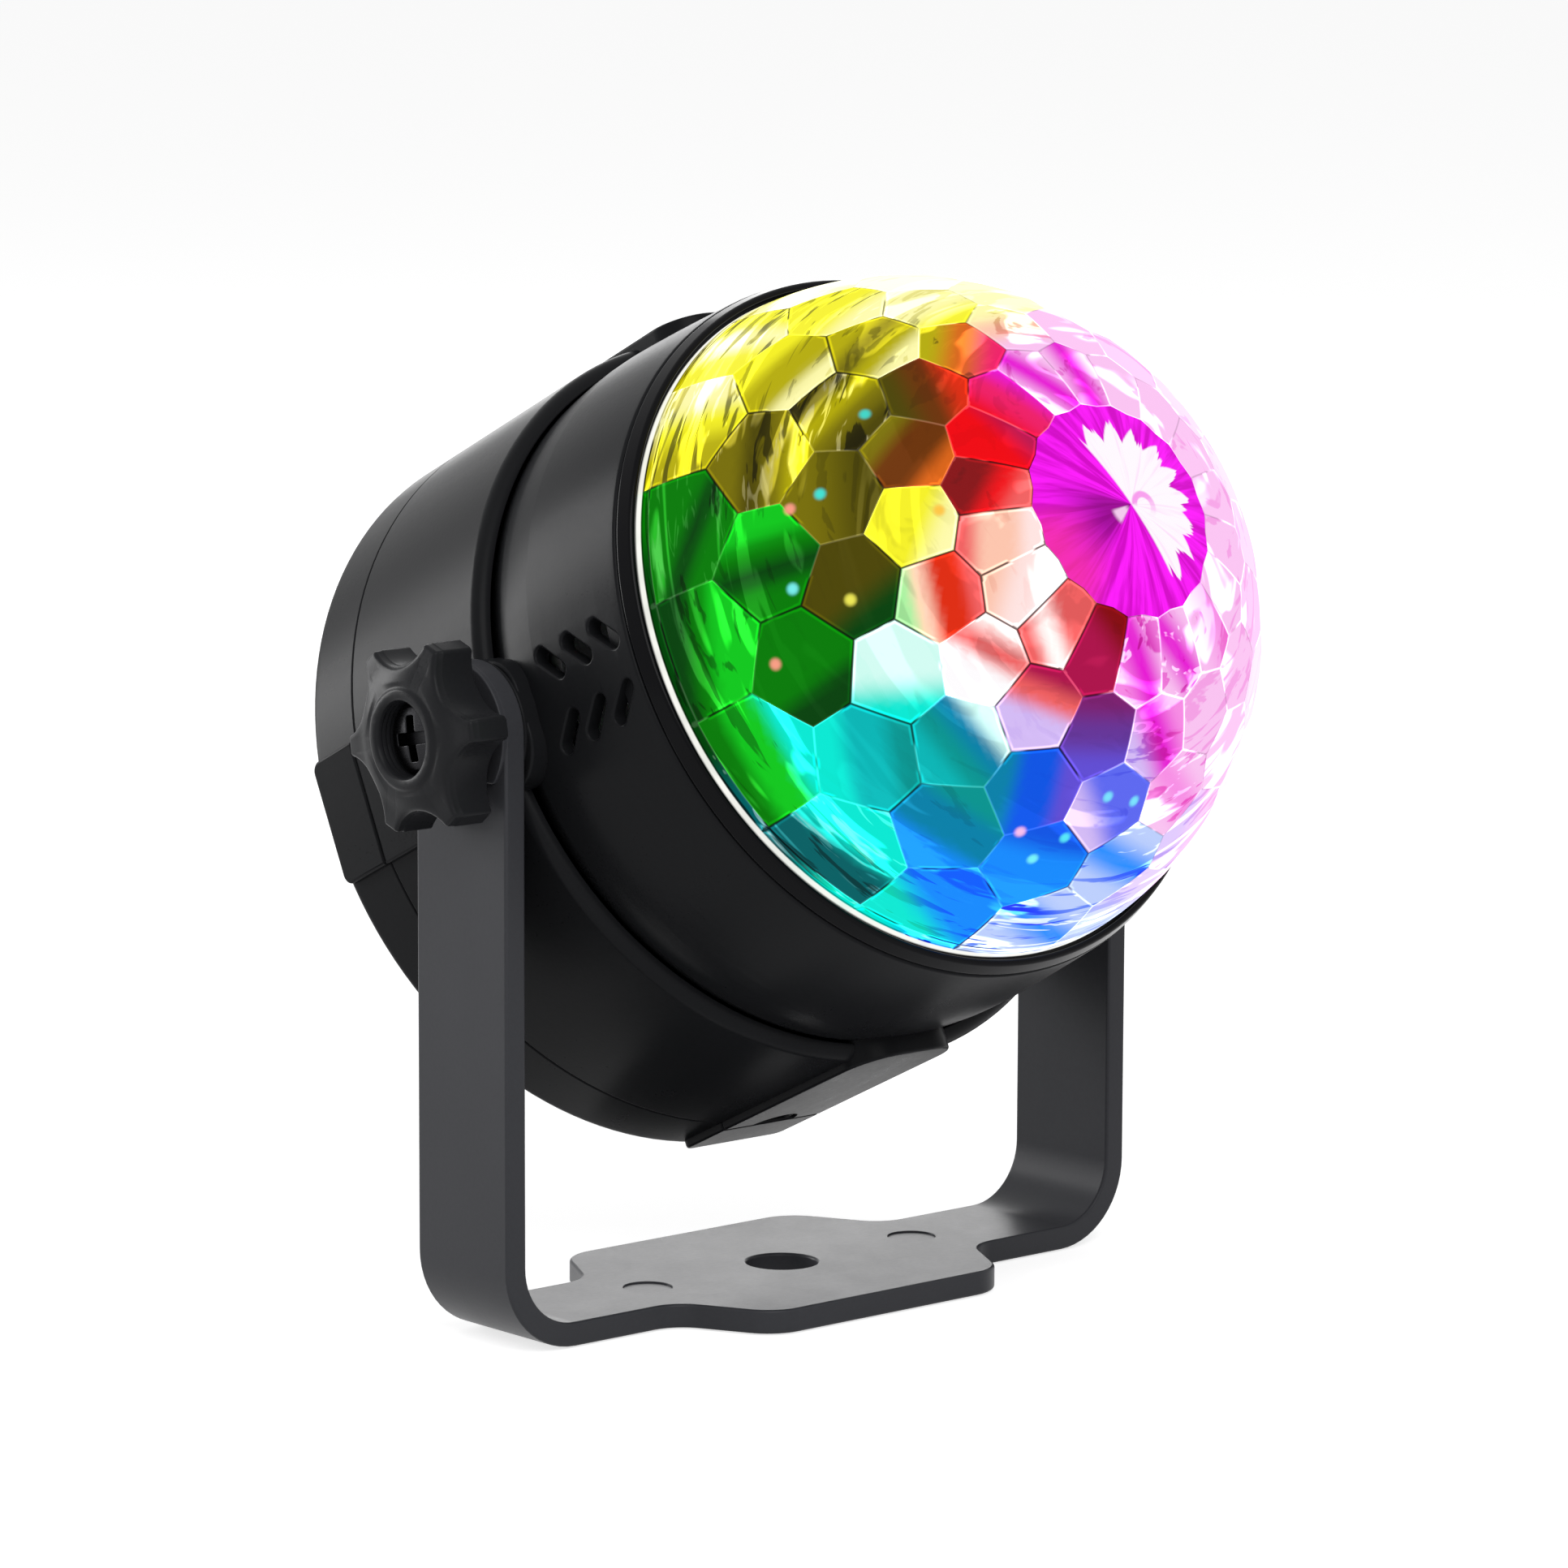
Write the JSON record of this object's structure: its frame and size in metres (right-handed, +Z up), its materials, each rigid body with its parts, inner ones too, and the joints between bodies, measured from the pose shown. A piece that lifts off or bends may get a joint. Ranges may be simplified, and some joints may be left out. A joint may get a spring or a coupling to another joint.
{
  "type": "led disco projector",
  "caption": "Small round projector lamp: a faceted rotating dome lit from inside by coloured lights, on a head that tilts in a U bracket with a star knob on each side.",
  "frame": {"origin": "on the surface that the bracket stands on, under the middle of the object's outline", "axes": "+Z up; the dome looks towards -Y and a little up; the tilt axis lies along X"},
  "size_m": [0.1178, 0.1144, 0.1254],
  "materials": {
    "bracket": "satin dark grey moulded plastic with a fine grain",
    "shell": "satin near-black moulded plastic",
    "ring": "black, smooth",
    "rubber": "soft black rubber",
    "knob": "satin dark grey moulded plastic",
    "black_screw": "black finished steel",
    "steel": "bright zinc plated steel",
    "aluminium": "plain aluminium",
    "circuit_board": "green solder mask",
    "crystal": "clear polished plastic, lit in many colours from inside",
    "lens": "clear polished plastic",
    "led_red": "red light emitter",
    "led_green": "green light emitter",
    "led_blue": "blue light emitter",
    "black_part": "black plastic",
    "white_part": "off-white plastic",
    "capacitor": "blue sleeve"
  },
  "bodies": {
    "bracket": {"bracket": "bracket"},
    "head": {"rear_shell": "shell", "rear_cap": "shell", "front_shell": "shell", "front_ring": "ring", "cord_grommet": "rubber", "cap_screw_1": "black_screw", "cap_screw_2": "black_screw", "cap_screw_3": "black_screw", "cap_screw_4": "black_screw", "heat_sink": "aluminium", "sink_screw_1": "steel", "sink_screw_2": "steel", "sink_screw_3": "steel", "led_board": "circuit_board", "board_screw_1": "steel", "board_screw_2": "steel", "board_screw_3": "steel", "led_red": "led_red", "lens_red": "lens", "led_green": "led_green", "lens_green": "lens", "led_blue": "led_blue", "lens_blue": "lens", "lens_holder": "black_part", "gearbox": "steel", "motor": "aluminium", "motor_screw_1": "steel", "motor_screw_2": "steel", "control_board": "circuit_board", "post_screw_1": "steel", "post_screw_2": "steel", "post_screw_3": "steel", "control_chip": "black_part", "capacitor": "capacitor", "microphone": "aluminium", "remote_receiver": "black_part", "motor_connector": "white_part", "clamp_nut_left": "steel", "clamp_nut_right": "steel"},
    "dome": {"dome": "crystal", "rotor_plate": "lens", "rotor_screw_1": "steel", "rotor_screw_2": "steel", "rotor_screw_3": "steel", "motor_shaft": "steel", "hub_screw": "steel"},
    "knob_left": {"knob_left": "knob", "clamp_screw_left": "black_screw", "clamp_washer_left": "black_screw"},
    "knob_right": {"knob_right": "knob", "clamp_screw_right": "black_screw", "clamp_washer_right": "black_screw"}
  },
  "joints": [
    {"name": "head_tilt", "type": "hinge", "parent": "bracket", "child": "head", "pos_m": [0, 0.00689, 0.07337], "axis": [1, 0, 0], "range_deg": [-64, 116]},
    {"name": "dome_spin", "type": "hinge", "parent": "head", "child": "dome", "pos_m": [0, 0.00666, 0.0729], "axis": [0, -0.8999, 0.436], "continuous": true},
    {"name": "knob_left_turn", "type": "hinge", "parent": "head", "child": "knob_left", "pos_m": [-0.055, 0.00689, 0.07337], "axis": [-1, 0, 0], "range_deg": [0, 360]},
    {"name": "knob_right_turn", "type": "hinge", "parent": "head", "child": "knob_right", "pos_m": [0.055, 0.00689, 0.07337], "axis": [1, 0, 0], "range_deg": [0, 360]}
  ]
}
